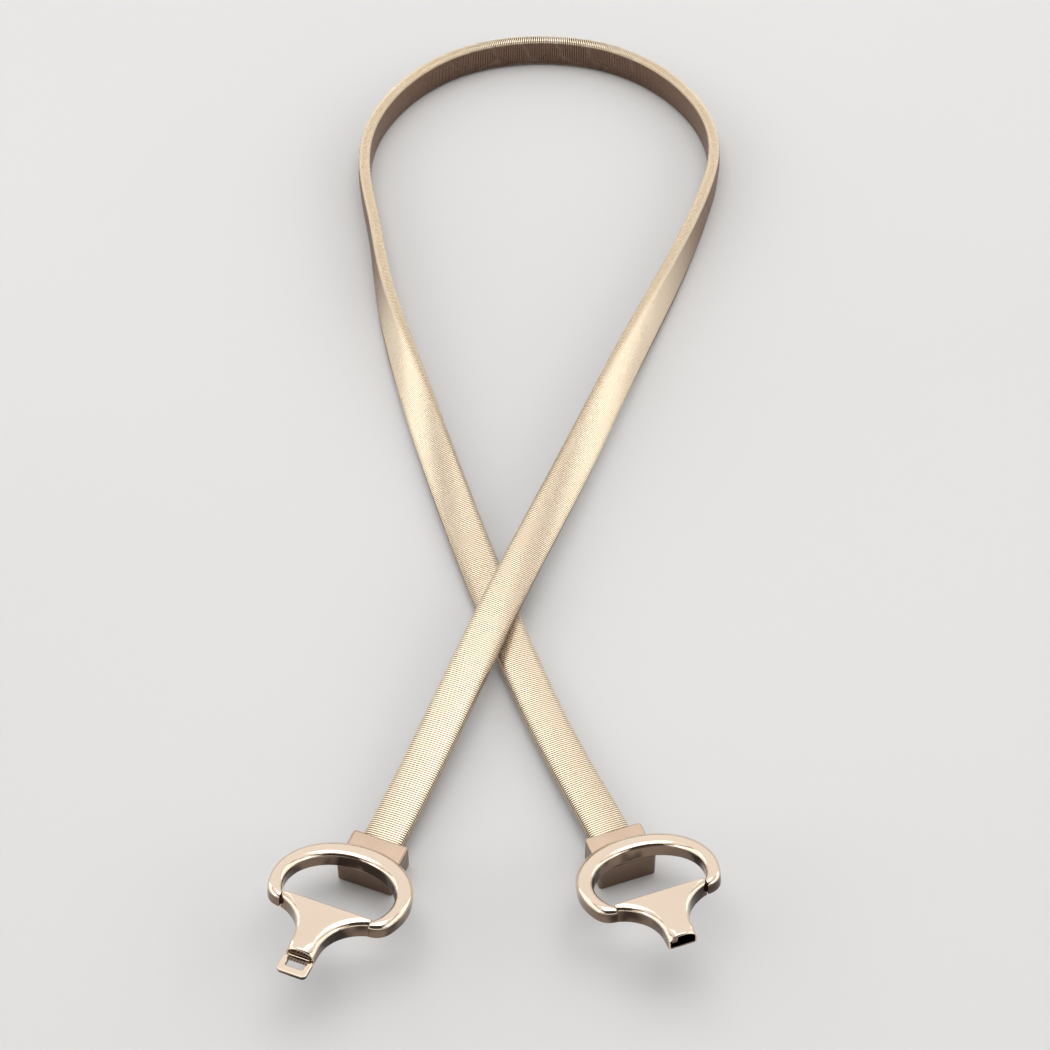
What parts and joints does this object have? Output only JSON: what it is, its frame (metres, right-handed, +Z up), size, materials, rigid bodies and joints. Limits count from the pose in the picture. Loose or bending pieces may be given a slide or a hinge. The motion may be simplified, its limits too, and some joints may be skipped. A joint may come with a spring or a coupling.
{
  "type": "elastic coil spring belt with bit buckle",
  "caption": "Stretch belt of flattened coil spring, laid in an open loop with crossed ends, each end gripped by a cap that carries half of a metal bit buckle.",
  "frame": {"origin": "under the middle of the belt as it lies, on the surface it rests on", "axes": "+Z up, +Y from the two buckle halves towards the far end of the loop, +X to the right seen from the buckles"},
  "size_m": [0.1159, 0.3602, 0.0207],
  "materials": {
    "coil_steel": "light gold plated spring wire, satin",
    "satin_gold": "light gold plated casting, satin",
    "polished_gold": "light gold plated casting, polished"
  },
  "bodies": {
    "root": {"coil_band": "coil_steel", "left_end_cap": "satin_gold", "left_bow": "polished_gold", "left_bar": "polished_gold", "left_tongue": "polished_gold", "right_end_cap": "satin_gold", "right_bow": "polished_gold", "right_bar": "polished_gold", "right_catch": "polished_gold"}
  },
  "joints": []
}
